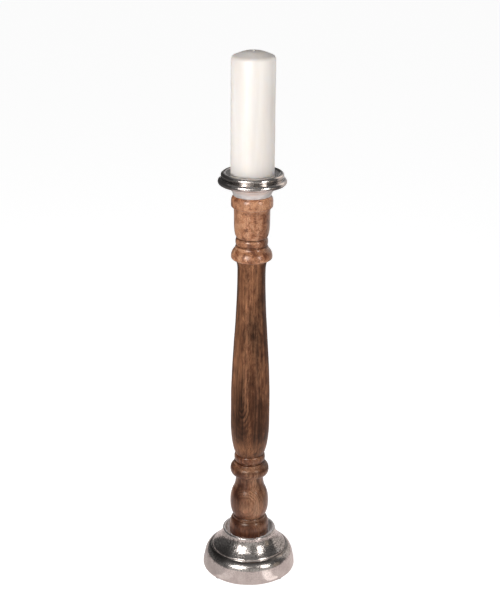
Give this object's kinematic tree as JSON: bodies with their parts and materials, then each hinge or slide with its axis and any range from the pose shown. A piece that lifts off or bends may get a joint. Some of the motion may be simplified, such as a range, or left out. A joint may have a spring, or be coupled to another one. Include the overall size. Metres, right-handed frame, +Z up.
{
  "type": "pillar candle holder",
  "caption": "Tall candle holder with a turned wooden column between a polished cast metal base and a ringed metal dish, carrying a pillar candle.",
  "frame": {"origin": "centre of the base on the floor, level with the underside of the felt pads", "axes": "+Z up along the column towards the candle; +X and +Y level, the object is round about Z"},
  "size_m": [0.155, 0.155, 0.8785],
  "materials": {
    "cast_metal": "polished nickel over cast aluminium",
    "felt": "felt",
    "zinc_steel": "bright zinc plate",
    "turned_wood": "satin lacquer",
    "shaft_wood": "satin lacquer",
    "pale_wood": "satin lacquer",
    "wax": "smooth wax",
    "wick_cotton": "braided cotton"
  },
  "bodies": {
    "stand": {"base_casting": "cast_metal", "felt_pads": "felt", "base_washer": "zinc_steel", "lock_washer": "zinc_steel", "clamp_nut": "zinc_steel", "tie_rod": "zinc_steel", "lower_turning": "turned_wood", "shaft": "shaft_wood", "upper_turning": "pale_wood", "candle_dish": "cast_metal", "candle_spike": "zinc_steel"},
    "candle": {"candle_body": "wax", "wick": "wick_cotton"}
  },
  "joints": [
    {"name": "candle_lift", "type": "slide", "parent": "stand", "child": "candle", "axis": [0, 0, 1], "range_m": [0, 0.06]}
  ]
}
